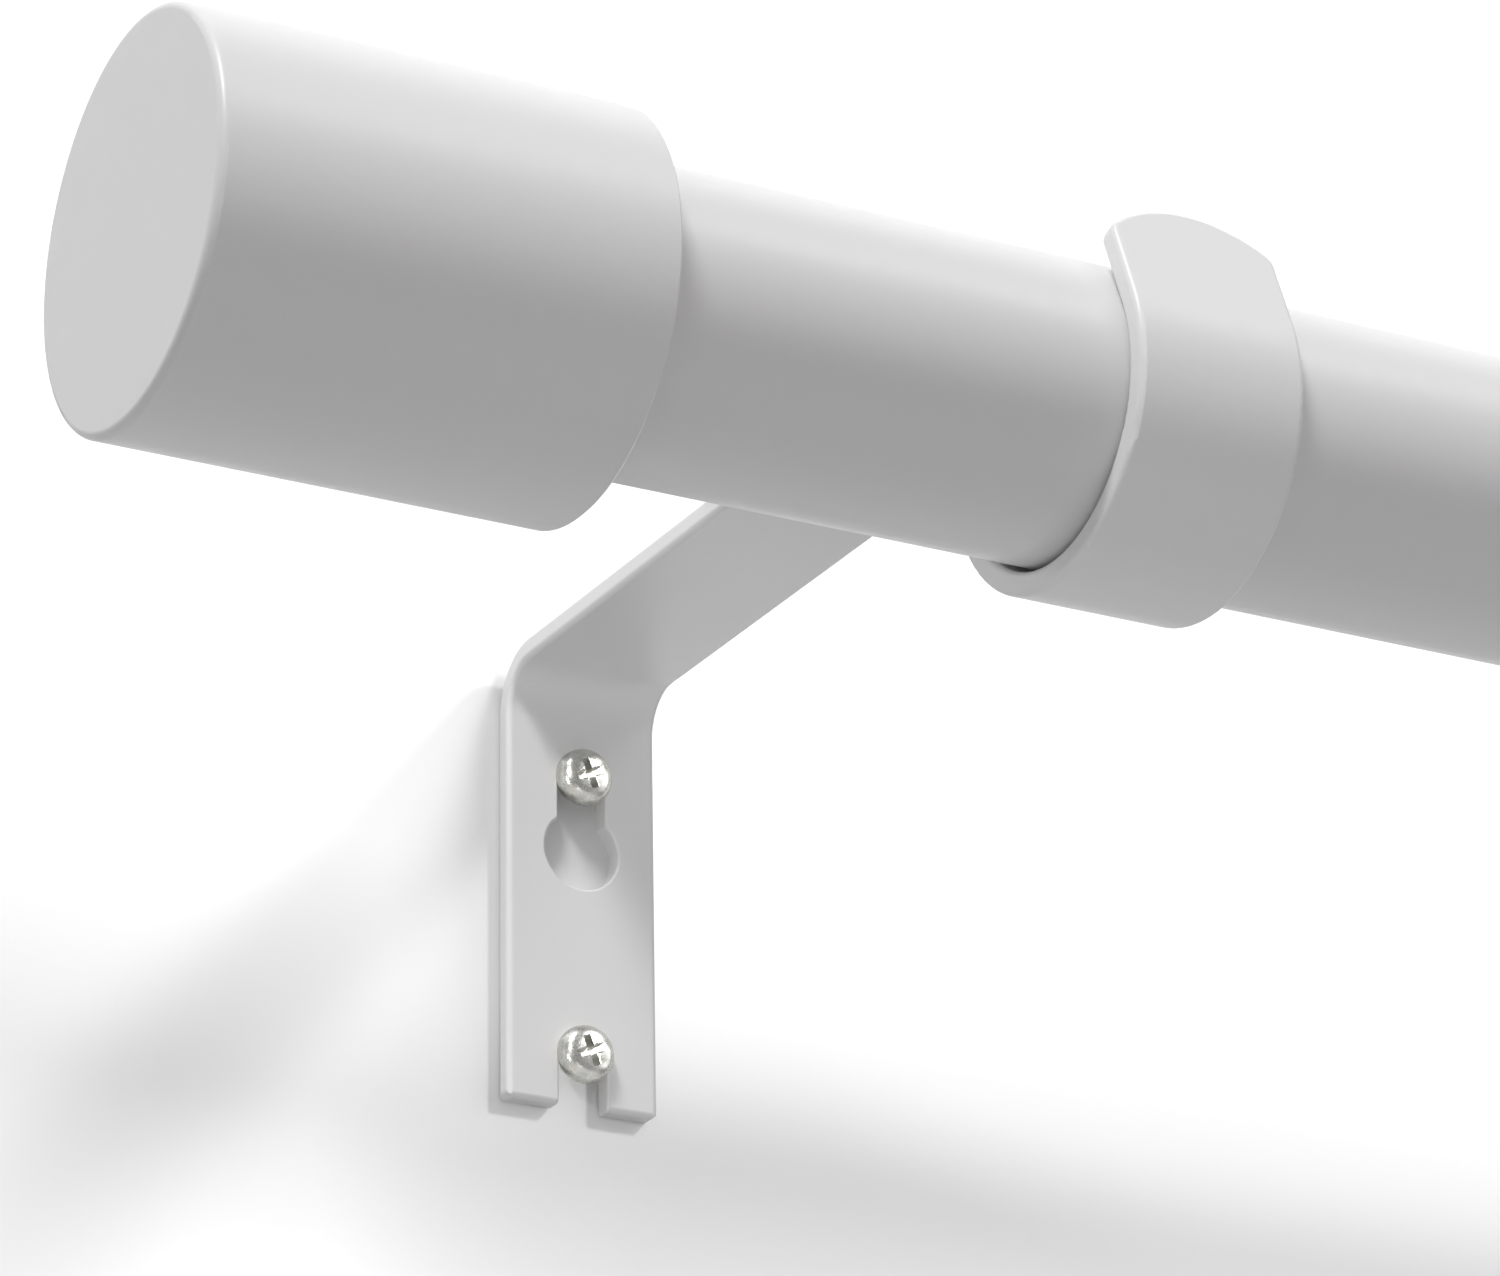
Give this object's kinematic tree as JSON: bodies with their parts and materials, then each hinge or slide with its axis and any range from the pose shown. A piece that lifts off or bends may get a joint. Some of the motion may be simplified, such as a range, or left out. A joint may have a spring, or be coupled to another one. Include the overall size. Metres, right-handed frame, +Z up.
{
  "type": "curtain rod",
  "caption": "Telescoping round curtain rod with plain drum finials, resting in open hooks of bent strip brackets that screw flat to the wall.",
  "frame": {"origin": "middle of the left bracket's flat wall face, on the wall", "axes": "+X along the rod from the left bracket to the right one, +Y into the wall, +Z up"},
  "size_m": [0.7672, 0.1396, 0.0457],
  "materials": {
    "powder_coat": "white satin powder coat on steel",
    "moulded_plastic": "white moulded polypropylene",
    "zinc": "bright zinc-plated steel"
  },
  "bodies": {
    "fixed_half": {"outer_tube": "powder_coat", "tube_mouth_ring": "moulded_plastic", "left_finial_cap": "powder_coat", "left_finial_liner": "moulded_plastic", "left_bracket": "powder_coat", "left_upper_screw": "zinc", "left_lower_screw": "zinc"},
    "drawn_half": {"inner_tube": "powder_coat", "inner_tube_guide": "moulded_plastic", "right_finial_cap": "powder_coat", "right_finial_liner": "moulded_plastic", "right_bracket": "powder_coat", "right_upper_screw": "zinc", "right_lower_screw": "zinc"}
  },
  "joints": [
    {"name": "rod_extend", "type": "slide", "parent": "fixed_half", "child": "drawn_half", "axis": [1, 0, 0], "range_m": [-0.0308, 0.4772]}
  ]
}
